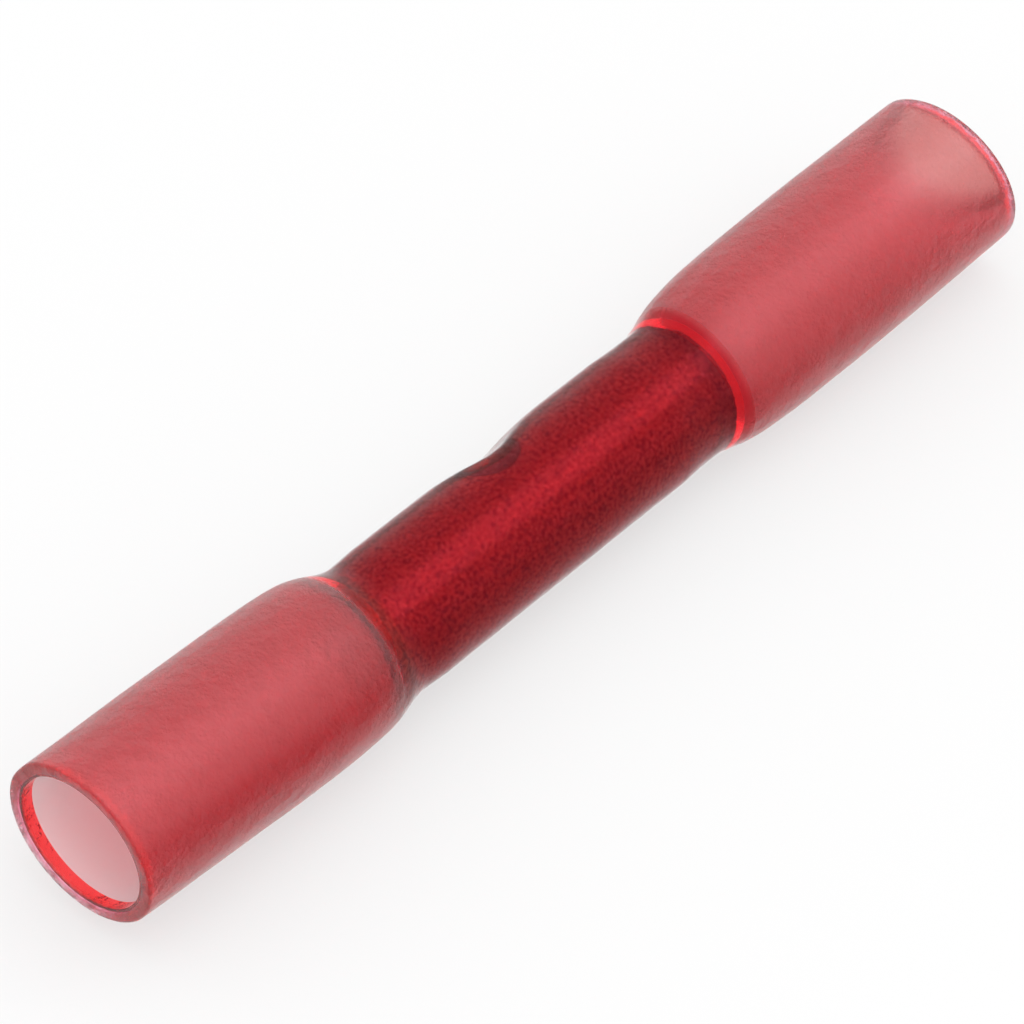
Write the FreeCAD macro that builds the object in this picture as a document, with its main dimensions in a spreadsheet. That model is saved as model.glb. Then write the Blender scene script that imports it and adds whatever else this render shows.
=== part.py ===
import FreeCAD, Part
import math
import os
import Sketcher
from FreeCAD import Placement, Rotation, Vector

# Heat-shrink butt connector: a tinned copper crimp barrel held in the shrunk waist of a
# translucent sleeve with a hot-melt lining. It is drawn along the barrel's axis, X, with the
# wire stop at x = 0, and then laid down on the swell of its two tubes.

doc = FreeCAD.newDocument("butt_connector")

# Driving sizes in millimetres and degrees. The near end is towards -X, the far end towards +X.
sheet = doc.addObject("Spreadsheet::Sheet", "sizes")
sizes = [
    ("barrel_length", 15.0, "barrel, end to end"),
    ("barrel_outside", 3.33, "barrel, outside diameter"),
    ("wire_bore", 1.7, "bore for the bare wire, diameter"),
    ("wire_lead_in", 0.2, "chamfer at both mouths of the bore"),
    ("barrel_edge", 0.12, "broken edge round both ends of the barrel"),
    ("stop_angle", 58.0, "where the stop is punched, from the top towards the back"),
    ("punch_radius", 1.5, "radius of the tool that punched the stop"),
    ("punch_depth", 0.5, "how deep the stop is punched into the barrel"),
    ("stop_root", 0.1, "how deep the stop's bump is rooted in the wall beside the bore"),
    ("pinch_margin", 0.06, "how far the drawn-in bore runs past the stop's bump"),
    ("pinch_depth", 0.05, "how much the bore is drawn in at the stop, all round"),
    ("waist_sleeve_wall", 0.48, "sleeve wall where it is shrunk on the barrel"),
    ("waist_lining_wall", 0.125, "lining between barrel and sleeve"),
    ("dimple_radius", 4.0, "radius of the sleeve's dimple over the stop"),
    ("dimple_depth", 0.245, "depth of the dimple outside the sleeve"),
    ("dimple_inside_depth", 0.27, "depth of the dimple inside the sleeve"),
    ("dimple_edge_margin", 0.27, "how much less than the waist's radius rounds the dimple's edge"),
    ("tube_flare", 0.445, "how far both mouths stand out over the waist, in radius"),
    ("mouth_sleeve_wall", 0.375, "sleeve wall in the tubes"),
    ("mouth_lining_wall", 0.1, "lining in the tubes"),
    ("rim_edge", 0.07, "worn edge round the sleeve's rims"),
    ("flare_bury", 0.2, "how deep each tube starts inside the surface of the waist"),
    ("crease_rounding", 0.4, "rounding of the crease between waist and tube"),
    ("inside_set_back", 0.5, "inner shoulders start this far behind the outer ones"),
    ("near_reach", 18.2, "stop to near mouth, along the barrel's axis"),
    ("near_shoulder_radius", 7.3, "radius of the near shoulder, along the tube"),
    ("near_shoulder_at", 1.82, "where the near shoulder runs out, from the barrel's end"),
    ("near_inside_slope", 14.0, "slope of the near shoulder inside"),
    ("near_swell", 0.06, "near tube's swell over its mouth, in radius"),
    ("near_lift", 0.07, "near tube's axis above the barrel's, at the barrel's end"),
    ("near_tilt", 3.55, "climb of the near tube's axis"),
    ("near_skew", -1.5, "near mouth's cut, off square towards the stop's side"),
    ("far_reach", 19.08, "stop to far mouth, along the barrel's axis"),
    ("far_shoulder_radius", 11.5, "radius of the far shoulder, along the tube"),
    ("far_shoulder_at", 2.73, "where the far shoulder runs out, from the barrel's end"),
    ("far_inside_slope", 11.0, "slope of the far shoulder inside"),
    ("far_swell", 0.035, "far tube's swell over its mouth, in radius"),
    ("far_lift", 0.1, "far tube's axis above the barrel's, at the barrel's end"),
    ("far_tilt", 2.15, "climb of the far tube's axis"),
    ("far_skew", 5.5, "far mouth's cut, off square towards the stop's side"),
    ("trim_margin", 1.5, "how far the tubes run past their cuts before trimming"),
    ("resting_roll", 0.0, "how far it lies rolled about the barrel's axis"),
]
for row, (alias, value, note) in enumerate(sizes, 1):
    sheet.set(f"A{row}", note)
    sheet.set(f"B{row}", str(value))
    sheet.setAlias(f"B{row}", alias)
doc.recompute()


# A size worked out from others, as the text of a formula and as a number for the first drawing
def total(*terms):
    formula = " + ".join(f"{factor} * sizes.{alias}" for factor, alias in terms)
    number = sum(factor * sheet.get(alias) for factor, alias in terms)
    return formula, number


# The same, where it starts from a radius that was worked out before
def plus(radius, *terms):
    formula, number = total(*terms)
    return f"{radius[0]} + {formula}", radius[1] + number


barrelRadius = total((0.5, "barrel_outside"))
boreRadius = total((0.5, "wire_bore"))
upright = Vector(0, 0, 1)
onAxis = ("0", 0.0)

# The three nested forms of waist and tubes: outside of the sleeve, between sleeve and lining,
# and inside of the lining, where the waist is the barrel itself
middleWaist = plus(barrelRadius, (1, "waist_lining_wall"))
outerWaist = plus(middleWaist, (1, "waist_sleeve_wall"))
outerMouth = plus(outerWaist, (1, "tube_flare"))
middleMouth = plus(outerMouth, (-1, "mouth_sleeve_wall"))
innerMouth = plus(middleMouth, (-1, "mouth_lining_wall"))


def newSketch(body, name):
    sketch = body.newObject("Sketcher::SketchObject", name)
    plane = next(p for p in body.Origin.OriginFeatures if p.Role == "XZ_Plane")
    sketch.AttachmentSupport = [(plane, "")]
    sketch.MapMode = "FlatFace"
    return sketch


# A sketch in the plane of the barrel's axis and the stop: x runs along the barrel and y points
# to the side that was punched
def newStopSketch(body, name):
    sketch = newSketch(body, name)
    sketch.AttachmentOffset = Placement(Vector(), Rotation(Vector(-1, 0, 0), sheet.get("stop_angle")))
    sketch.setExpression("AttachmentOffset.Rotation.Angle", "sizes.stop_angle")
    return sketch


# Adds a constraint at the value that the drawing has and then ties it to a formula
def dimension(sketch, name, kind, references, formula, value):
    index = sketch.addConstraint(Sketcher.Constraint(kind, *references, value))
    sketch.renameConstraint(index, name)
    sketch.setExpression("Constraints." + name, formula)


def placePoint(sketch, name, edge, end, across, up):
    dimension(sketch, name + "_x", "DistanceX", (-1, 1, edge, end), *across)
    dimension(sketch, name + "_y", "DistanceY", (-1, 1, edge, end), *up)


def joinEnds(sketch, pairs):
    for first, firstEnd, second, secondEnd in pairs:
        sketch.addConstraint(Sketcher.Constraint("Coincident", first, firstEnd, second, secondEnd))


# The waist: a plain rod as long as the barrel
def addRod(body, radius):
    rod = body.newObject("PartDesign::AdditiveCylinder", body.Name + "_rod")
    rod.setExpression("Radius", radius[0])
    rod.setExpression("Height", "sizes.barrel_length")
    rod.Placement = Placement(Vector(), Rotation(Vector(0, 1, 0), 90))
    rod.setExpression("Placement.Base.x", "-0.5 * sizes.barrel_length")


# One tube of a form, turned about its own axis. Outside, its shoulder rises out of the waist in
# one arc and the tube then narrows a little to its mouth. Inside, shoulder and tube are straight.
# The sketch starts at the barrel's end, with x towards the mouth.
def addTube(body, end, waist, mouth, outside):
    side = {"near": -1, "far": 1}[end]
    tilt = sheet.get(end + "_tilt")
    turn = {"near": 180 - tilt, "far": tilt}[end]
    turnFormula = {"near": "180 - sizes.near_tilt", "far": "sizes.far_tilt"}[end]
    sketch = newSketch(body, f"{body.Name}_{end}_profile")
    start = Vector(side * sheet.get("barrel_length") / 2, sheet.get(end + "_lift"), 0)
    sketch.AttachmentOffset = Placement(start, Rotation(upright, turn))
    sketch.setExpression("AttachmentOffset.Base.x", f"{side} * sizes.barrel_length / 2")
    sketch.setExpression("AttachmentOffset.Base.y", f"sizes.{end}_lift")
    sketch.setExpression("AttachmentOffset.Rotation.Angle", turnFormula)

    footRadius = (waist[0] + " - sizes.flare_bury", waist[1] - sheet.get("flare_bury"))
    reach = total((1, end + "_reach"), (-0.5, "barrel_length"), (1, "trim_margin"))
    if outside:
        swell = sheet.get(end + "_swell")
        run = total((1, end + "_reach"), (-0.5, "barrel_length"), (-1, end + "_shoulder_at"))
        crestAt = total((1, end + "_shoulder_at"))
        crestRadius = (f"{mouth[0]} + sizes.{end}_swell", mouth[1] + swell)
        drop = f"sizes.{end}_swell * sizes.trim_margin / ({run[0]})"
        endRadius = (f"{mouth[0]} - {drop}", mouth[1] - swell * sheet.get("trim_margin") / run[1])
        bend = sheet.get(end + "_shoulder_radius")
        rise = math.acos(1 - (crestRadius[1] - footRadius[1]) / bend)
        bendCircle = Part.Circle(Vector(crestAt[1], crestRadius[1] - bend, 0), upright, bend)
        shoulder = Part.ArcOfCircle(bendCircle, math.pi / 2, math.pi / 2 + rise)
        shoulderEnds = (2, 1)
        footAt = shoulder.EndPoint.x
    else:
        crestAt = total((1, end + "_shoulder_at"), (-1, "inside_set_back"))
        crestRadius = endRadius = mouth
        slope = math.tan(math.radians(sheet.get(end + "_inside_slope")))
        footAt = crestAt[1] - (mouth[1] - footRadius[1]) / slope
        footTop = Vector(footAt, footRadius[1], 0)
        shoulder = Part.LineSegment(footTop, Vector(crestAt[1], crestRadius[1], 0))
        shoulderEnds = (1, 2)

    corners = [(footAt, 0), (footAt, footRadius[1]), (crestAt[1], crestRadius[1])]
    corners += [(reach[1], endRadius[1]), (reach[1], 0)]
    points = [Vector(x, y, 0) for x, y in corners]
    edges = [Part.LineSegment(a, b) for a, b in zip(points, points[1:] + points[:1])]
    edges[1] = shoulder
    footLine, shoulderLine, tubeLine, mouthLine, axisLine = sketch.addGeometry(edges)
    low, high = shoulderEnds
    joints = [(footLine, 2, shoulderLine, low), (shoulderLine, high, tubeLine, 1)]
    joints += [(tubeLine, 2, mouthLine, 1), (mouthLine, 2, axisLine, 1), (axisLine, 2, footLine, 1)]
    joinEnds(sketch, joints)
    sketch.addConstraint(Sketcher.Constraint("Vertical", footLine))
    sketch.addConstraint(Sketcher.Constraint("PointOnObject", footLine, 1, -1))
    dimension(sketch, "foot_radius", "DistanceY", (-1, 1, footLine, 2), *footRadius)
    placePoint(sketch, "crest", tubeLine, 1, crestAt, crestRadius)
    placePoint(sketch, "mouth", tubeLine, 2, reach, endRadius)
    placePoint(sketch, "mouth_middle", mouthLine, 2, reach, onAxis)
    if outside:
        sketch.addConstraint(Sketcher.Constraint("Tangent", shoulderLine, tubeLine))
        bendFormula = f"sizes.{end}_shoulder_radius"
        dimension(sketch, "shoulder", "Radius", (shoulderLine,), bendFormula, bend)
    else:
        rise = f"({mouth[0]} - ({footRadius[0]})) / tan(sizes.{end}_inside_slope)"
        dimension(sketch, "foot", "DistanceX", (-1, 1, footLine, 2), f"{crestAt[0]} - {rise}", footAt)

    revolution = body.newObject("PartDesign::Revolution", f"{body.Name}_{end}_tube")
    revolution.Profile = sketch
    revolution.ReferenceAxis = (sketch, ["H_Axis"])
    doc.recompute()


def solidFaces(body, test):
    return [face for face in body.Shape.Faces if test(face)]


def isCylinder(face, radius):
    return isinstance(face.Surface, Part.Cylinder) and abs(face.Surface.Radius - radius) < 0.001


# Names of the curved edges round some faces. Straight edges there are only seams.
def curvedEdges(body, faces):
    around = [edge for face in faces for edge in face.Edges if not isinstance(edge.Curve, Part.Line)]
    names = []
    for number, edge in enumerate(body.Shape.Edges, 1):
        if any(edge.isSame(other) for other in around):
            names.append(f"Edge{number}")
    return names


# Kind is Fillet for a rounding or Chamfer for a broken edge
def addEdge(body, kind, name, edges, formula):
    base = body.Tip
    feature = body.newObject("PartDesign::" + kind, f"{body.Name}_{name}")
    feature.Base = (base, edges)
    feature.setExpression({"Fillet": "Radius", "Chamfer": "Size"}[kind], formula)
    doc.recompute()


def cutThrough(body, name, sketch):
    before = body.Shape.Volume
    pocket = body.newObject("PartDesign::Pocket", f"{body.Name}_{name}")
    pocket.Profile = sketch
    pocket.Type = "ThroughAll"
    pocket.SideType = "Symmetric"
    doc.recompute()
    if not body.Shape.Volume < before:
        raise RuntimeError(pocket.Name + " cuts nothing")


# A round hollow across the body, as deep as asked below a surface of the given radius
def addHollow(body, name, surface, radius, depth):
    sketch = newStopSketch(body, f"{body.Name}_{name}_profile")
    height = surface[1] - sheet.get(depth) + sheet.get(radius)
    circle = sketch.addGeometry(Part.Circle(Vector(0, height, 0), upright, sheet.get(radius)))
    sketch.addConstraint(Sketcher.Constraint("PointOnObject", circle, 3, -2))
    heightFormula = f"{surface[0]} - sizes.{depth} + sizes.{radius}"
    dimension(sketch, "height", "DistanceY", (-1, 1, circle, 3), heightFormula, height)
    dimension(sketch, "radius", "Radius", (circle,), "sizes." + radius, sheet.get(radius))
    cutThrough(body, name, sketch)


# One mouth's cut: a wedge whose slanted edge passes through the reach on the barrel's axis
def addMouthCut(body, end):
    side = {"near": -1, "far": 1}[end]
    sketch = newStopSketch(body, f"{body.Name}_{end}_cut_profile")
    high = 2 * outerMouth[1]
    highFormula = f"2 * ({outerMouth[0]})"
    reach = side * sheet.get(end + "_reach")
    lean = -side * high * math.tan(math.radians(sheet.get(end + "_skew")))
    outside = reach + side * 3 * sheet.get("trim_margin")
    corners = [(reach + lean, high), (reach - lean, -high), (outside, -high), (outside, high)]
    leanFormula = f"{highFormula} * tan(sizes.{end}_skew)"
    outsideFormula = f"{side} * (sizes.{end}_reach + 3 * sizes.trim_margin)"
    across = [
        f"{side} * (sizes.{end}_reach - {leanFormula})",
        f"{side} * (sizes.{end}_reach + {leanFormula})",
        outsideFormula,
        outsideFormula,
    ]
    points = [Vector(x, y, 0) for x, y in corners]
    lines = sketch.addGeometry([Part.LineSegment(points[i], points[(i + 1) % 4]) for i in range(4)])
    joinEnds(sketch, [(lines[i], 2, lines[(i + 1) % 4], 1) for i in range(4)])
    up = [highFormula, "-" + highFormula, "-" + highFormula, highFormula]
    for i in range(4):
        placePoint(sketch, f"corner{i}", lines[i], 1, (across[i], points[i].x), (up[i], points[i].y))
    cutThrough(body, end + "_cut", sketch)


# Waist and both tubes of one nested form, as a solid
def newForm(name, waist, mouth, outside):
    body = doc.addObject("PartDesign::Body", name)
    addRod(body, waist)
    addTube(body, "near", waist, mouth, outside)
    addTube(body, "far", waist, mouth, outside)
    return body


outer = newForm("sleeve_outside", outerWaist, outerMouth, True)
rodFaces = solidFaces(outer, lambda face: isCylinder(face, outerWaist[1]))
addEdge(outer, "Fillet", "crease", curvedEdges(outer, rodFaces), "sizes.crease_rounding")
addHollow(outer, "dimple", outerWaist, "dimple_radius", "dimple_depth")
dimpleFaces = solidFaces(outer, lambda face: isCylinder(face, sheet.get("dimple_radius")))
dimpleRounding = outerWaist[0] + " - sizes.dimple_edge_margin"
addEdge(outer, "Fillet", "dimple_edge", curvedEdges(outer, dimpleFaces), dimpleRounding)
addMouthCut(outer, "near")
addMouthCut(outer, "far")
mouthFaces = solidFaces(outer, lambda face: isinstance(face.Surface, Part.Plane))
addEdge(outer, "Chamfer", "rims", curvedEdges(outer, mouthFaces), "sizes.rim_edge")

middle = newForm("lining_outside", middleWaist, middleMouth, False)
addHollow(middle, "dimple", middleWaist, "dimple_radius", "dimple_inside_depth")

inner = newForm("lining_inside", barrelRadius, innerMouth, False)
addHollow(inner, "stop", barrelRadius, "punch_radius", "punch_depth")

# What the punch pushed in stands in the bore as a bump, one wall further in. Its outline is
# round the same centre as the punch, and its root is half way into the wall above it.
punchHeight = total((0.5, "barrel_outside"), (-1, "punch_depth"), (1, "punch_radius"))
bumpRadius = total((1, "punch_radius"), (0.5, "barrel_outside"), (-0.5, "wire_bore"))
bumpRoot = total((0.25, "wire_bore"), (0.25, "barrel_outside"), (-0.5, "punch_depth"))
bumpHalf = math.sqrt(bumpRadius[1] ** 2 - (punchHeight[1] - boreRadius[1]) ** 2)
bumpHalfFormula = f"sqrt(({bumpRadius[0]})^2 - ({punchHeight[0]} - {boreRadius[0]})^2)"

# The barrel: half its section turned about its axis. The bore has a lead-in at both ends, and
# the punch has drawn it in a little on both sides of the bump.
barrel = doc.addObject("PartDesign::Body", "barrel")
section = newSketch(barrel, "barrel_section")
half = total((0.5, "barrel_length"))
leadStart = total((0.5, "barrel_length"), (-1, "wire_lead_in"))
leadRadius = total((0.5, "wire_bore"), (1, "wire_lead_in"))
edgeStart = total((0.5, "barrel_length"), (-1, "barrel_edge"))
endRadius = total((0.5, "barrel_outside"), (-1, "barrel_edge"))
pinchDepth = sheet.get("pinch_depth")
pinchEnd = (bumpHalfFormula + " + sizes.pinch_margin", bumpHalf + sheet.get("pinch_margin"))
pinchRadius = (pinchEnd[1] ** 2 + pinchDepth**2) / (2 * pinchDepth)


def mirrored(size):
    return f"-({size[0]})", -size[1]


corners = [
    (mirrored(half), leadRadius),
    (mirrored(half), endRadius),
    (mirrored(edgeStart), barrelRadius),
    (edgeStart, barrelRadius),
    (half, endRadius),
    (half, leadRadius),
    (leadStart, boreRadius),
    (pinchEnd, boreRadius),
    (mirrored(pinchEnd), boreRadius),
    (mirrored(leadStart), boreRadius),
]
# the drawn-in stretch is the side that starts at this corner
pinch = 7
count = len(corners)
points = [Vector(across[1], up[1], 0) for across, up in corners]
edges = [Part.LineSegment(points[i], points[(i + 1) % count]) for i in range(count)]
down = 1.5 * math.pi
pinchCentre = Vector(0, boreRadius[1] - pinchDepth + pinchRadius, 0)
pinchCircle = Part.Circle(pinchCentre, upright, pinchRadius)
pinchAngle = math.asin(pinchEnd[1] / pinchRadius)
edges[pinch] = Part.ArcOfCircle(pinchCircle, down - pinchAngle, down + pinchAngle)
lines = section.addGeometry(edges)
# the arc runs from left to right, against the order of the corners
ends = [(line, 1, 2) for line in lines]
ends[pinch] = (lines[pinch], 2, 1)
joints = [(ends[i], ends[(i + 1) % count]) for i in range(count)]
joinEnds(section, [(this[0], this[2], following[0], following[1]) for this, following in joints])
for i, (across, up) in enumerate(corners):
    placePoint(section, f"corner{i}", ends[i][0], ends[i][1], across, up)
pinchFormula = f"(({pinchEnd[0]})^2 + sizes.pinch_depth^2) / (2 * sizes.pinch_depth)"
dimension(section, "pinch", "Radius", (lines[pinch],), pinchFormula, pinchRadius)
drawnTube = barrel.newObject("PartDesign::Revolution", "drawn_tube")
drawnTube.Profile = section
drawnTube.ReferenceAxis = (section, ["H_Axis"])
doc.recompute()
addHollow(barrel, "punch", barrelRadius, "punch_radius", "punch_depth")

bump = newStopSketch(barrel, "stop_profile")
spread = math.acos((punchHeight[1] - bumpRoot[1]) / bumpRadius[1])
bumpCircle = Part.Circle(Vector(0, punchHeight[1], 0), upright, bumpRadius[1])
bumpArc = Part.ArcOfCircle(bumpCircle, down - spread, down + spread)
arc, chord = bump.addGeometry([bumpArc, Part.LineSegment(bumpArc.EndPoint, bumpArc.StartPoint)])
joinEnds(bump, [(arc, 2, chord, 1), (chord, 2, arc, 1)])
bump.addConstraint(Sketcher.Constraint("PointOnObject", arc, 3, -2))
bump.addConstraint(Sketcher.Constraint("Horizontal", chord))
dimension(bump, "height", "DistanceY", (-1, 1, arc, 3), *punchHeight)
dimension(bump, "radius", "Radius", (arc,), *bumpRadius)
dimension(bump, "root", "DistanceY", (-1, 1, chord, 1), *bumpRoot)
wireStop = barrel.newObject("PartDesign::Pad", "wire_stop")
wireStop.Profile = bump
wireStop.SideType = "Symmetric"
wireStop.setExpression("Length", "sizes.wire_bore + 2 * sizes.stop_root")
doc.recompute()


# A boolean of two forms
def combine(kind, name, base, tool):
    result = doc.addObject("Part::" + kind, name)
    result.Base = base
    result.Tool = tool
    return result


sleeve = combine("Cut", "sleeve", outer, middle)
liningBlank = combine("Common", "lining_blank", outer, middle)
lining = combine("Cut", "adhesive_lining", liningBlank, inner)
doc.recompute()


def ground(shape):
    return shape.optimalBoundingBox(False).ZMin


# The pitch at which both halves of a shape, cut in two at x = 0, reach down equally far
def levelPitch(halves):
    pitch = 0
    span = sheet.get("barrel_length") + sheet.get("near_shoulder_at") + sheet.get("far_shoulder_at")
    refinements = 3
    for _ in range(refinements):
        near, far = [ground(half.rotated(Vector(), Vector(0, 1, 0), pitch)) for half in halves]
        pitch += math.degrees(math.atan2(far - near, span))
    return pitch


# How the connector lies: on both tubes, at its resting roll, with the middle of its outline at
# x = y = 0
def restingPlace(shape):
    box = shape.BoundBox
    size = Vector(box.XLength, box.YLength, box.ZLength)
    roll = sheet.get("resting_roll")
    halves = [
        shape.common(Part.makeBox(*size, Vector(x, box.YMin, box.ZMin))) for x in (-size.x, 0)
    ]
    pitch = levelPitch([half.rotated(Vector(), Vector(1, 0, 0), roll) for half in halves])
    turn = Rotation(Vector(0, 1, 0), pitch).multiply(Rotation(Vector(1, 0, 0), roll))
    outline = shape.transformed(Placement(Vector(), turn).toMatrix()).optimalBoundingBox(False)
    shift = Vector(-outline.Center.x, -outline.Center.y, -outline.ZMin)
    return Placement(shift, turn)


rest = restingPlace(sleeve.Shape)
for body in (outer, middle, inner, barrel):
    body.Placement = rest
doc.recompute()

for item in doc.Objects:
    if "Invalid" in item.State or "Error" in item.State:
        raise RuntimeError(f"{item.Name} failed: {item.State}")
parts = [sleeve, lining, barrel]
for item in parts:
    if item.Shape.isNull() or not item.Shape.isValid() or len(item.Shape.Solids) != 1:
        raise RuntimeError(item.Label + " is not one valid solid")

os.makedirs("parts", exist_ok=True)
for item in parts:
    item.Shape.exportStep(f"parts/{item.Label}.step")
    print(item.Label, round(item.Shape.Volume, 3), "mm3")
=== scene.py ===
import math

import bpy
from mathutils import Euler, Matrix, Vector, noise


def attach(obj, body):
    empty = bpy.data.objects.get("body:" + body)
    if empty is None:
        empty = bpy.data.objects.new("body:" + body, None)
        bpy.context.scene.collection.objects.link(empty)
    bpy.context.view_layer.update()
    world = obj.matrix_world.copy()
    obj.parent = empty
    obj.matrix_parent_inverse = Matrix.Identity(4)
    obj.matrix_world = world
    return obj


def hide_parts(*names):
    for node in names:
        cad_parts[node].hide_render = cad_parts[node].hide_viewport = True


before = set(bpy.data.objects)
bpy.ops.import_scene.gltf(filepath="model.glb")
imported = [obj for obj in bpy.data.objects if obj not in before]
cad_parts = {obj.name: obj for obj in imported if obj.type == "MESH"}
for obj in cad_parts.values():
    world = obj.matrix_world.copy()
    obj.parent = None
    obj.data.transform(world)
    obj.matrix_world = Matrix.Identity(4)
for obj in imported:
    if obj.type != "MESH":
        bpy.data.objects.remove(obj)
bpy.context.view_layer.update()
mm = 0.001
print("frame loaded, nodes:", sorted(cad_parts))

# The connector is drawn in mm along the barrel's axis X, with the wire stop at x = 0 and the near
# mouth at -X, and is then laid down where the frame has it.
resting = {
    "stopAt": (-0.5153, 0.0, 2.5811),
    "pitch": 0.148,
    "drop": 0.03,  # the drawn tubes are this much slimmer underneath than the frame's
}
pitched = Matrix.Rotation(math.radians(resting["pitch"]), 4, "Y")
laidDown = Matrix.Translation(Vector(resting["stopAt"]) - Vector((0, 0, resting["drop"]))) @ pitched

connector = {
    "barrelHalf": 7.5,
    "stopAngle": 58.0,  # where the stop was punched, from the top towards +Y
    "around": 160,  # points round each skin
}
# A station is (distance past the barrel's end, radius outside).
near = {
    "side": -1,
    "reach": 18.055,
    "tilt": 3.41,
    "lift": 0.184,  # how far its axis stands over the barrel's, where the barrel ends
    "bend": (-1.22, 1.02),  # where the axis leaves the barrel's and where it has become the tube's
    "skew": -3.1,  # degrees that the mouth is cut out of square
    "skewFrom": 7.5,
    "bloomFrom": (-0.15, 0.2),  # where the skin turns from glossy to frosted, past the barrel's end
    "stations": [(-2.2, 2.279), (-1.25, 2.24), (-1.0, 2.27), (-0.75, 2.322), (-0.5, 2.401), (-0.2, 2.497),
                 (0.2, 2.606), (0.7, 2.693), (1.3, 2.742), (2.0, 2.772), (3.2, 2.793), (6.0, 2.776), (10.7, 2.728)],
}
far = {
    "side": 1,
    "reach": 19.089,
    "tilt": 1.343,
    "lift": 0.153,
    "bend": (-0.8, 1.97),
    "skew": -4.29,
    "skewFrom": 8.0,
    "bloomFrom": (-0.15, 0.2),
    "stations": [(-2.6, 2.279), (-1.6, 2.228), (-1.1, 2.23), (-0.8, 2.243), (-0.55, 2.298), (-0.3, 2.362),
                 (0.1, 2.477), (0.6, 2.584), (1.3, 2.667), (2.1, 2.724), (3.2, 2.752), (6.0, 2.775), (11.6, 2.712)],
}


def easeIn(value, low, high):
    part = min(max((value - low) / (high - low), 0), 1)
    return part * part * (3 - 2 * part)


# A smooth curve through stations that never overshoots them
def curveThrough(stations):
    xs = [x for x, y in stations]
    ys = [y for x, y in stations]
    steps = [b - a for a, b in zip(xs, xs[1:])]
    slopes = [(b - a) / step for a, b, step in zip(ys, ys[1:], steps)]
    tangents = [slopes[0]]
    for i in range(1, len(slopes)):
        before, after = slopes[i - 1], slopes[i]
        if before * after <= 0:
            tangents.append(0)
        else:
            left, right = 2 * steps[i] + steps[i - 1], steps[i] + 2 * steps[i - 1]
            tangents.append((left + right) / (left / before + right / after))
    tangents.append(slopes[-1])

    def at(x):
        x = min(max(x, xs[0]), xs[-1])
        i = max(j for j in range(len(steps)) if xs[j] <= x)
        t = (x - xs[i]) / steps[i]
        start = (1 + 2 * t) * (1 - t) ** 2 * ys[i] + t * (1 - t) ** 2 * steps[i] * tangents[i]
        end = t * t * (3 - 2 * t) * ys[i + 1] + t * t * (t - 1) * steps[i] * tangents[i + 1]
        return start + end

    return at


near["radius"] = curveThrough(near["stations"])
far["radius"] = curveThrough(far["stations"])


def endOf(x):
    end = near if x < 0 else far
    return end, abs(x) - connector["barrelHalf"]


# A point of the sleeve's own space: x along it, the angle from the top towards +Y, and the radius
def inSleeve(x, angle, radius):
    end, past = endOf(x)
    bent = easeIn(past, *end["bend"])
    lean = bent * math.radians(end["tilt"]) * end["side"]
    up = Vector((-math.sin(lean), 0, math.cos(lean)))
    along = Vector((math.cos(lean), 0, math.sin(lean)))
    centre = Vector((x, 0, bent * (end["lift"] + past * math.tan(math.radians(end["tilt"])))))
    mouth = end["reach"] - connector["barrelHalf"]
    shear = easeIn(past, end["skewFrom"], mouth) * math.tan(math.radians(end["skew"]))
    facing = math.cos(angle - math.radians(connector["stopAngle"]))
    return centre + radius * (math.sin(angle) * Vector((0, 1, 0)) + math.cos(angle) * up + shear * facing * along)


# The same about the barrel's straight axis
def inBarrel(x, angle, radius):
    return Vector((x, radius * math.sin(angle), radius * math.cos(angle)))


# The smaller of two radii, with the corner between them rounded
def softMin(a, b, width):
    d = (b - a) / width
    if abs(d) >= 1:
        return min(a, b)
    return (a + b) / 2 - width / 4 * (1 + d * d)


# A radius cut by a hollow whose floor is at this height over the barrel's axis, on the stop's side
def hollowed(radius, floorHeight, angle, width):
    facing = math.cos(angle - math.radians(connector["stopAngle"]))
    if facing < 0.2:  # the hollow doesn't reach round to there
        return radius
    return softMin(radius, floorHeight / facing, width)


# Turns a closed outline, a list of (x, function from angle to radius, frost), into a closed skin. The
# frost goes along as an attribute: 1 where the skin is frosted or milky, 0 where it is clear.
def turnedSkin(name, outline, place):
    count = connector["around"]
    verts, faces = [], []
    for x, radiusAt, frost in outline:
        for k in range(count):
            angle = 2 * math.pi * k / count
            verts.append(laidDown @ place(x, angle, radiusAt(angle)) * mm)
    rings = len(outline)
    for i in range(rings):
        j = (i + 1) % rings
        for k in range(count):
            n = (k + 1) % count
            faces.append((i * count + k, j * count + k, j * count + n, i * count + n))
    mesh = bpy.data.meshes.new(name)
    mesh.from_pydata(verts, [], faces)
    mesh.shade_smooth()
    frosting = mesh.attributes.new("frost", "FLOAT", "POINT")
    frosting.data.foreach_set("value", [frost for x, radiusAt, frost in outline for k in range(count)])
    piece = bpy.data.objects.new(name, mesh)
    bpy.context.scene.collection.objects.link(piece)
    return piece


# Even steps over each stretch of (from, to, step), each place once
def places(*stretches):
    xs = [stretches[0][0]]
    for low, high, step in stretches:
        count = max(round((high - low) / step), 1)
        xs += [low + (high - low) * i / count for i in range(1, count + 1)]
    return xs


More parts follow.
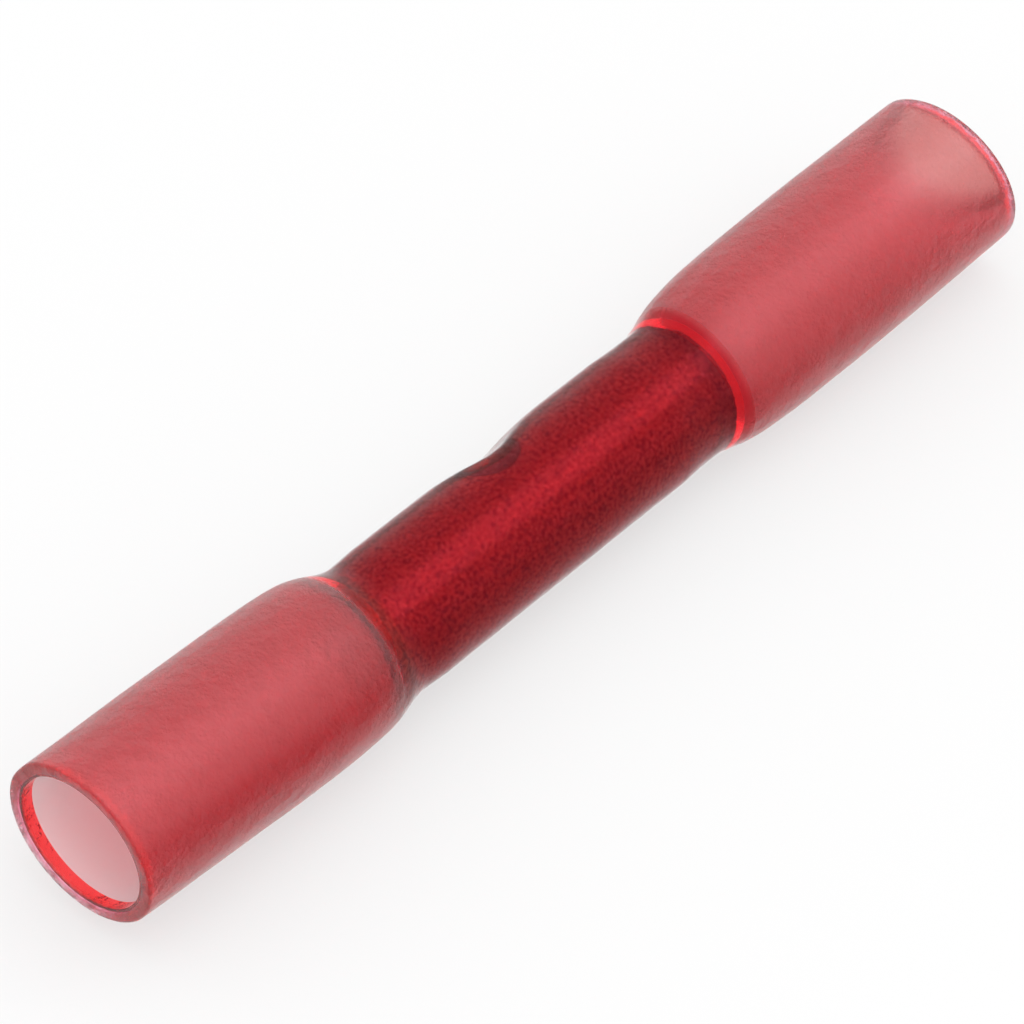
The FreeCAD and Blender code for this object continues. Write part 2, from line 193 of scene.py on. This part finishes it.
# Sleeve: the tube that is shrunk on the barrel, and is hardly shrunk at its ends
sleeveShape = {
    "waistWall": 0.485,
    "tubeWall": 0.375,
    "wallChange": (-1.3, 1.0),  # where it goes from one wall to the other, past the barrel's end
    "wallEdge": 0.02,
    "insideWaist": 1.785,
    "dimpleDepth": 0.32,
    "dimpleInsideDepth": 0.3,
    "dimpleLength": 1.332,
    "dimpleAt": 0.06,
    "dimpleEdge": 0.12,
    "rimOutside": 0.1,  # how far the cut rims are worn round, outside and inside
    "rimInside": 0.05,
    "unevenness": 0.012,  # how far the shrunk skin wanders in and out
    "unevenSpan": 1.7,
    "unevenRadius": 2.7,  # the waves are taken round a cylinder of this radius
}
# The wall is drawn out thin in one place at the far mouth, so the lining shows pale through it there. It
# starts on this line and widens to both sides, up to the rim.
thinPlace = {
    "from": 15.6,
    "angle": -19.0,
    "spread": 2.4,  # it starts this much further out where it is this angle off that line
    "spreadAngle": 50,
    "fade": (-1.0, 1.4),
    "thinnerBy": 0.31,
    "rim": (0.12, 0.4),  # the rim itself keeps its whole wall
}


# How much of its depth the dimple has at this place
def dimpled(x):
    return math.exp(-(((x - sleeveShape["dimpleAt"]) / sleeveShape["dimpleLength"]) ** 2))


def outerRadius(x, angle):
    end, past = endOf(x)
    radius = end["radius"](past)
    return hollowed(radius, radius - sleeveShape["dimpleDepth"] * dimpled(x), angle, sleeveShape["dimpleEdge"])


def thinned(x, angle):
    turnedOff = math.remainder(angle - math.radians(thinPlace["angle"]), 2 * math.pi)
    off = math.degrees(turnedOff) / thinPlace["spreadAngle"]
    begins = thinPlace["from"] + thinPlace["spread"] * off * off
    if x < begins + thinPlace["fade"][0]:
        return 0
    fromRim = easeIn(far["reach"] - x, *thinPlace["rim"])
    return thinPlace["thinnerBy"] * easeIn(x - begins, *thinPlace["fade"]) * fromRim


def sleeveInside(x, angle):
    end, past = endOf(x)
    low, high = sleeveShape["wallChange"]
    wall = sleeveShape["waistWall"] + (sleeveShape["tubeWall"] - sleeveShape["waistWall"]) * easeIn(past, low, high)
    radius = -softMin(-end["radius"](past) + wall, -sleeveShape["insideWaist"], sleeveShape["wallEdge"])
    floorHeight = radius - sleeveShape["dimpleInsideDepth"] * dimpled(x)
    return hollowed(radius, floorHeight, angle, sleeveShape["dimpleEdge"]) + thinned(x, angle)


# Slow waves in the skin, the same on every run
def uneven(x, angle):
    around = sleeveShape["unevenRadius"]
    spot = Vector((x, around * math.sin(angle), around * math.cos(angle))) / sleeveShape["unevenSpan"]
    return sleeveShape["unevenness"] * noise.noise(spot)


# A quarter round at a mouth, from the outside surface to the face of the cut or from it to the inside
def roundedRim(xMouth, side, size, radius, sign, fromFace, frost):
    steps = 5
    corner = []
    for i in range(steps + 1):
        turn = math.pi / 2 * i / steps
        back, down = size * (1 - math.sin(turn)), size * (1 - math.cos(turn))
        corner.append((xMouth - side * back, lambda a, down=down: radius(xMouth, a) - sign * down, frost))
    return corner[::-1] if fromFace else corner


# The steps are fine at the shoulders and the dimple, and coarse along the tubes
nearMouth, farMouth = -near["reach"], far["reach"]
outsideRim, insideRim = sleeveShape["rimOutside"], sleeveShape["rimInside"]
alongOutside = places((nearMouth + outsideRim, -10.6, 0.3), (-10.6, -9.2, 0.12), (-9.2, -5.6, 0.07),
                      (-5.6, -2.9, 0.15), (-2.9, 2.9, 0.08), (2.9, 5.3, 0.15), (5.3, 9.4, 0.07),
                      (9.4, 11.0, 0.12), (11.0, farMouth - outsideRim, 0.3))
alongInside = places((nearMouth + insideRim, -9.8, 0.35), (-9.8, -5.6, 0.1), (-5.6, -2.9, 0.25), (-2.9, 2.9, 0.12),
                     (2.9, 5.3, 0.25), (5.3, 9.8, 0.1), (9.8, 14.8, 0.35), (14.8, farMouth - insideRim, 0.12))


def skinRadius(x, angle):
    return outerRadius(x, angle) + uneven(x, angle)


# The skin is glossy where it is stretched over the barrel, and frosted on the tubes
def skinFrost(x):
    end, past = endOf(x)
    return easeIn(past, *end["bloomFrom"])


outline = [(x, lambda a, x=x: skinRadius(x, a), skinFrost(x)) for x in alongOutside[1:-1]]
outline += roundedRim(farMouth, 1, outsideRim, skinRadius, 1, False, 1)
outline += roundedRim(farMouth, 1, insideRim, sleeveInside, -1, True, 1)
outline += [(x, lambda a, x=x: sleeveInside(x, a), 0) for x in alongInside[::-1][1:-1]]
outline += roundedRim(nearMouth, -1, insideRim, sleeveInside, -1, False, 1)
outline += roundedRim(nearMouth, -1, outsideRim, skinRadius, 1, True, 1)
sleeve = turnedSkin("shrunkSleeve", outline, inSleeve)
print("sleeve:", len(sleeve.data.polygons), "faces")


# Lining: the hot-melt film inside the sleeve, which fills the waist down to the barrel
liningShape = {
    "tubeWall": 0.1,
    "setBack": 0.04,  # its edge stands this far behind the sleeve's rim
    "contact": 0.03,  # it is melted on, so the drawn skins overlap by this much
    "rim": 0.045,  # how far its cut edge is rounded
    "letsGo": (-0.3, 0.6),  # where it leaves the barrel's end for the tube's wall
    "milkyFrom": 7.6,  # it is clear up to this far from the stop, and milky beyond
}
barrelShape = {
    "outside": 1.665,
    "bore": 0.85,
    "leadIn": 0.2,
    "edge": 0.12,
    "punchRadius": 1.5,
    "punchDepth": 0.5,
    "punchEdge": 0.01,
    "stopEdge": 0.02,
    "stopLowest": 0.05,  # the stop goes in no nearer to the axis
    "pinchLength": 1.53,  # the bore is drawn in a little round the stop
    "pinch": 0.05,
}


def barrelOutside(x, angle):
    radius = barrelShape["outside"]
    punch = barrelShape["punchRadius"]
    if abs(x) >= punch:
        return radius
    floorHeight = radius - barrelShape["punchDepth"] + punch - math.sqrt(punch**2 - x**2)
    return hollowed(radius, floorHeight, angle, barrelShape["punchEdge"])


def barrelBore(x, angle):
    pinch = barrelShape["pinch"] * max(1 - (x / barrelShape["pinchLength"]) ** 2, 0)
    radius = barrelShape["bore"] - pinch
    punch = barrelShape["punchRadius"]
    bump = punch + barrelShape["outside"] - barrelShape["bore"]
    if abs(x) >= bump:
        return radius
    floorHeight = barrelShape["outside"] - barrelShape["punchDepth"] + punch - math.sqrt(bump**2 - x**2)
    return hollowed(radius, max(floorHeight, barrelShape["stopLowest"]), angle, barrelShape["stopEdge"])


def liningOutside(x, angle):
    return sleeveInside(x, angle) + liningShape["contact"]


def liningInside(x, angle):
    end, past = endOf(x)
    film = sleeveInside(x, angle) - liningShape["tubeWall"]
    onBarrel = barrelOutside(x, angle) - liningShape["contact"]
    return onBarrel + (film - onBarrel) * easeIn(past, *liningShape["letsGo"])


def milky(x):
    return 1 if abs(x) > liningShape["milkyFrom"] else 0


nearEdge, farEdge = nearMouth + liningShape["setBack"], farMouth - liningShape["setBack"]
liningRim = liningShape["rim"]
alongLining = places((nearEdge + liningRim, -9.8, 0.35), (-9.8, -5.8, 0.08), (-5.8, -1.7, 0.3), (-1.7, 1.7, 0.06),
                     (1.7, 5.8, 0.3), (5.8, 9.8, 0.08), (9.8, 14.8, 0.35), (14.8, farEdge - liningRim, 0.12))
outline = [(x, lambda a, x=x: liningOutside(x, a), 0) for x in alongLining[1:-1]]
outline += roundedRim(farEdge, 1, liningRim, liningOutside, 1, False, 0)
outline += roundedRim(farEdge, 1, liningRim, liningInside, -1, True, 0)
outline += [(x, lambda a, x=x: liningInside(x, a), milky(x)) for x in alongLining[::-1][1:-1]]
outline += roundedRim(nearEdge, -1, liningRim, liningInside, -1, False, 0)
outline += roundedRim(nearEdge, -1, liningRim, liningOutside, 1, True, 0)
lining = turnedSkin("hotMeltLining", outline, inSleeve)
print("lining:", len(lining.data.polygons), "faces")


# Barrel: drawn copper tube, cut, tinned and punched in the middle for the wire stop
half = connector["barrelHalf"]
edge, leadIn = barrelShape["edge"], barrelShape["leadIn"]
alongBarrel = places((-half + edge, -1.7, 0.2), (-1.7, 1.7, 0.05), (1.7, half - edge, 0.2))
alongBore = places((-half + leadIn, -2.4, 0.3), (-2.4, 2.4, 0.06), (2.4, half - leadIn, 0.3))


# The rounded outer edge of the barrel's end on one side, from its outside to its face
def barrelEdge(side):
    rings = []
    for i in (1, 2, 3):
        back, down = edge * (1 - math.sin(math.pi / 6 * i)), edge * (1 - math.cos(math.pi / 6 * i))
        rings.append((side * (half - back), lambda a, down=down: barrelShape["outside"] - down, 0))
    return rings


outline = [(x, lambda a, x=x: barrelOutside(x, a), 0) for x in alongBarrel]
outline += barrelEdge(1)
outline += [(half, lambda a: barrelShape["bore"] + leadIn, 0)]
outline += [(x, lambda a, x=x: barrelBore(x, a), 0) for x in alongBore[::-1]]
outline += [(-half, lambda a: barrelShape["bore"] + leadIn, 0)]
outline += barrelEdge(-1)[::-1]
barrel = turnedSkin("crimpBarrel", outline, inBarrel)
print("barrel:", len(barrel.data.polygons), "faces")

for piece, node in ((sleeve, "sleeve"), (lining, "adhesive_lining"), (barrel, "barrel")):
    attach(piece, "root")
    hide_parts(node)


# sRGB hex to the linear colour that the shaders work in
def linear(hexText):
    channels = [int(hexText[i:i + 2], 16) / 255 for i in (1, 3, 5)]
    return [c / 12.92 if c <= 0.04045 else ((c + 0.055) / 1.055) ** 2.4 for c in channels] + [1]


# One shader node: settings are its own properties or unlinked inputs, links are (input, output) pairs
def addNode(tree, kind, settings=None, links=None):
    node = tree.nodes.new(kind)
    for key, value in (settings or {}).items():
        if isinstance(key, str) and hasattr(node, key):
            setattr(node, key, value)
        else:
            node.inputs[key].default_value = value
    for key, output in (links or {}).items():
        tree.links.new(output, node.inputs[key])
    return node


def newMaterial(name):
    material = bpy.data.materials.new(name)
    material.use_nodes = True
    tree = material.node_tree
    tree.nodes.clear()
    return material, tree


# Cross-linked polyolefin, extruded and shrunk: a clear red that lets light through, with a frosted
# skin that spreads every highlight, and fine wrinkles where it shrank.
polyolefin = {
    "tint": "#ffffff",  # all its colour comes from inside the wall
    "roughness": (0.04, 0.36),
    "ior": 1.28,  # lower than the real 1.5, or the edges of the tubes go dark
    "sheen": "#ff6a6a",  # the bare skin reflects little but red
    "bloomRoughness": 0.4,  # the tubes' skin has a pale bloom that the stretched waist has lost
    "bloomIor": 1.5,
    "absorbColour": (1.0, 0.0, 0.3, 1),  # red passes, green is taken most, some of the blue stays
    "density": 2300,  # per metre: green falls to a third through the waist's wall
    "grainSpan": 0.12,  # mm between the skin's fine grains
    "waveSpan": 0.5,  # mm between the wrinkles, which are this many times as high as the grain
    "waveShare": 3.0,
    "grainHeight": 0.06,
    "waistGrain": 0.12,  # how much of the grain the stretched waist keeps
}


def makePolyolefin():
    material, tree = newMaterial("polyolefinShrunkRed")
    coords = addNode(tree, "ShaderNodeTexCoord")
    grain = addNode(tree, "ShaderNodeTexNoise", {"Scale": 1 / (polyolefin["grainSpan"] * mm), "Detail": 2.0},
                    {"Vector": coords.outputs["Object"]})
    wave = addNode(tree, "ShaderNodeTexNoise", {"Scale": 1 / (polyolefin["waveSpan"] * mm), "Detail": 3.0},
                   {"Vector": coords.outputs["Object"]})
    heights = addNode(tree, "ShaderNodeMath", {"operation": "MULTIPLY_ADD", 1: polyolefin["waveShare"]},
                      {0: wave.outputs["Fac"], 2: grain.outputs["Fac"]})
    frost = addNode(tree, "ShaderNodeAttribute", {"attribute_name": "frost"})
    strength = addNode(tree, "ShaderNodeMapRange", {"To Min": polyolefin["waistGrain"], "To Max": 1.0},
                       {"Value": frost.outputs["Fac"]})
    bump = addNode(tree, "ShaderNodeBump", {"Distance": polyolefin["grainHeight"] * mm},
                   {"Height": heights.outputs["Value"], "Strength": strength.outputs["Result"]})
    low, high = polyolefin["roughness"]
    roughness = addNode(tree, "ShaderNodeMapRange", {"To Min": low, "To Max": high}, {"Value": frost.outputs["Fac"]})
    shader = addNode(tree, "ShaderNodeBsdfPrincipled", {
        "Base Color": linear(polyolefin["tint"]), "IOR": polyolefin["ior"],
        "Specular Tint": linear(polyolefin["sheen"]), "Transmission Weight": 1.0,
        "Coat Roughness": polyolefin["bloomRoughness"], "Coat IOR": polyolefin["bloomIor"]},
        {"Roughness": roughness.outputs["Result"], "Normal": bump.outputs["Normal"],
         "Coat Weight": frost.outputs["Fac"]})
    inside = addNode(tree, "ShaderNodeVolumeAbsorption",
                     {"Color": polyolefin["absorbColour"], "Density": polyolefin["density"]})
    addNode(tree, "ShaderNodeOutputMaterial", {}, {"Surface": shader.outputs[0], "Volume": inside.outputs[0]})
    return material


# Hot-melt adhesive, extruded as a film: milky and soft, and clear where it is pressed on the barrel, with
# some of the sleeve's red in it
hotMelt = {
    "colour": {"hotMeltFilm": "#eef6f6", "hotMeltBond": "#ff6a60"},
    "transmission": {"hotMeltFilm": 0.4, "hotMeltBond": 1.0},
    "roughness": {"hotMeltFilm": 0.5, "hotMeltBond": 0.05},
    "ior": 1.48,
    "specular": 0.2,
    "speckleSpan": 0.1,
    "speckleHeight": 0.01,
}


def makeHotMelt(name):
    material, tree = newMaterial(name)
    coords = addNode(tree, "ShaderNodeTexCoord")
    speckle = addNode(tree, "ShaderNodeTexNoise", {"Scale": 1 / (hotMelt["speckleSpan"] * mm), "Detail": 3.0},
                      {"Vector": coords.outputs["Object"]})
    bump = addNode(tree, "ShaderNodeBump", {"Strength": 0.4, "Distance": hotMelt["speckleHeight"] * mm},
                   {"Height": speckle.outputs["Fac"]})
    shader = addNode(tree, "ShaderNodeBsdfPrincipled", {
        "Base Color": linear(hotMelt["colour"][name]), "Roughness": hotMelt["roughness"][name],
        "IOR": hotMelt["ior"], "Specular IOR Level": hotMelt["specular"],
        "Transmission Weight": hotMelt["transmission"][name]}, {"Normal": bump.outputs["Normal"]})
    addNode(tree, "ShaderNodeOutputMaterial", {}, {"Surface": shader.outputs[0]})
    return material


# Tin, plated on copper: a warm soft silver, finely clouded where the plating is duller and rougher
tin = {
    "bright": "#94856c",
    "dull": "#5c544a",
    "roughness": (0.33, 0.45),
    "cloudSpan": 0.12,
    "clouds": (0.35, 0.65),  # the noise's values that are fully dull and fully bright
}


def makeTin():
    material, tree = newMaterial("tinPlatedCopper")
    coords = addNode(tree, "ShaderNodeTexCoord")
    cloud = addNode(tree, "ShaderNodeTexNoise",
                    {"Scale": 1 / (tin["cloudSpan"] * mm), "Detail": 5.0, "Roughness": 0.6},
                    {"Vector": coords.outputs["Object"]})
    colour = addNode(tree, "ShaderNodeValToRGB", {}, {"Fac": cloud.outputs["Fac"]})
    for stop, position, shade in zip(colour.color_ramp.elements, tin["clouds"], (tin["dull"], tin["bright"])):
        stop.position = position
        stop.color = linear(shade)
    low, high = tin["clouds"]
    smooth, rough = tin["roughness"]
    roughness = addNode(tree, "ShaderNodeMapRange",
                        {"From Min": low, "From Max": high, "To Min": rough, "To Max": smooth},
                        {"Value": cloud.outputs["Fac"]})
    shader = addNode(tree, "ShaderNodeBsdfPrincipled", {"Metallic": 1.0},
                     {"Base Color": colour.outputs["Color"], "Roughness": roughness.outputs["Result"]})
    addNode(tree, "ShaderNodeOutputMaterial", {}, {"Surface": shader.outputs[0]})
    return material


sleeve.data.materials.append(makePolyolefin())
lining.data.materials.append(makeHotMelt("hotMeltFilm"))
lining.data.materials.append(makeHotMelt("hotMeltBond"))
milkiness = lining.data.attributes["frost"].data
for face in lining.data.polygons:
    face.material_index = 0 if all(milkiness[v].value > 0.5 for v in face.vertices) else 1
barrel.data.materials.append(makeTin())
print("materials done")


# Studio: a pale table, an even sky and one large soft lamp
studio = {
    "tableHalf": 1.5,
    "paint": "#fbfbfb",
    "shownToEye": 0.83,  # how white the table's plain part is to the eye, beside 1 in glass
    "tableShown": 0.75,  # how much of it is plain to the eye, the rest takes shadow
    "sky": 1.35,
    "lampWatts": 0.8,
    "lampSize": 0.5,
    "lampFrom": (0.2, -0.3, 0.85),
    "lampDistance": 0.5,
}


def makeTable():
    material, tree = newMaterial("paintedTable")
    paint = addNode(tree, "ShaderNodeBsdfPrincipled", {"Base Color": linear(studio["paint"]), "Roughness": 0.9,
                                                        "Specular IOR Level": 0.1})
    path = addNode(tree, "ShaderNodeLightPath")
    byEye = path.outputs["Is Camera Ray"]
    white = addNode(tree, "ShaderNodeMapRange", {"To Min": 1.0, "To Max": studio["shownToEye"]}, {"Value": byEye})
    shown = addNode(tree, "ShaderNodeEmission", {"Color": (1, 1, 1, 1)}, {"Strength": white.outputs["Result"]})
    eyeOrGlossy = addNode(tree, "ShaderNodeMath", {"operation": "ADD", "use_clamp": True},
                          {0: byEye, 1: path.outputs["Is Glossy Ray"]})
    seen = addNode(tree, "ShaderNodeMath", {"operation": "ADD", "use_clamp": True},
                   {0: eyeOrGlossy.outputs["Value"], 1: path.outputs["Is Transmission Ray"]})
    plain = addNode(tree, "ShaderNodeMapRange", {"To Min": 1.0, "To Max": studio["tableShown"]}, {"Value": byEye})
    share = addNode(tree, "ShaderNodeMath", {"operation": "MULTIPLY"},
                    {0: seen.outputs["Value"], 1: plain.outputs["Result"]})
    mix = addNode(tree, "ShaderNodeMixShader", {},
                  {0: share.outputs["Value"], 1: paint.outputs[0], 2: shown.outputs[0]})
    addNode(tree, "ShaderNodeOutputMaterial", {}, {"Surface": mix.outputs[0]})
    return material


wide = studio["tableHalf"]
tableMesh = bpy.data.meshes.new("table")
tableMesh.from_pydata([(-wide, -wide, 0), (wide, -wide, 0), (wide, wide, 0), (-wide, wide, 0)], [], [(0, 1, 2, 3)])
table = bpy.data.objects.new("table", tableMesh)
bpy.context.scene.collection.objects.link(table)
tableMesh.materials.append(makeTable())

world = bpy.data.worlds.new("softSky")
world.use_nodes = True
world.node_tree.nodes["Background"].inputs["Color"].default_value = (1, 1, 1, 1)
world.node_tree.nodes["Background"].inputs["Strength"].default_value = studio["sky"]
bpy.context.scene.world = world

lampData = bpy.data.lights.new("softBox", "AREA")
lampData.size = studio["lampSize"]
lampData.energy = studio["lampWatts"]
lamp = bpy.data.objects.new("softBox", lampData)
lamp.location = Vector(studio["lampFrom"]).normalized() * studio["lampDistance"]
lamp.rotation_euler = lamp.location.to_track_quat("Z", "Y").to_euler()
bpy.context.scene.collection.objects.link(lamp)

# The camera stands where the photo was taken from, given in the connector's own drawing
camera = {
    "at": (-93.054, -88.793, 142.979),
    "turn": (41.995, 0.317, -46.576),
    "lens": 229.36,
}
cameraData = bpy.data.cameras.new("photoCamera")
cameraData.lens = camera["lens"]
cameraData.sensor_width = 36
cameraData.clip_start = 0.01
eye = bpy.data.objects.new("photoCamera", cameraData)
turn = Euler([math.radians(a) for a in camera["turn"]]).to_matrix().to_4x4()
place = laidDown @ Matrix.Translation(camera["at"]) @ turn
place.translation *= mm
eye.matrix_world = place
bpy.context.scene.collection.objects.link(eye)
bpy.context.scene.camera = eye
bpy.context.scene.view_settings.view_transform = "Standard"
# Light crosses both walls of a tube many times before it leaves
bpy.context.scene.cycles.max_bounces = 40
bpy.context.scene.cycles.transmission_bounces = 40
bpy.context.scene.cycles.diffuse_bounces = 12
bpy.context.scene.cycles.glossy_bounces = 12
print("studio and camera done")
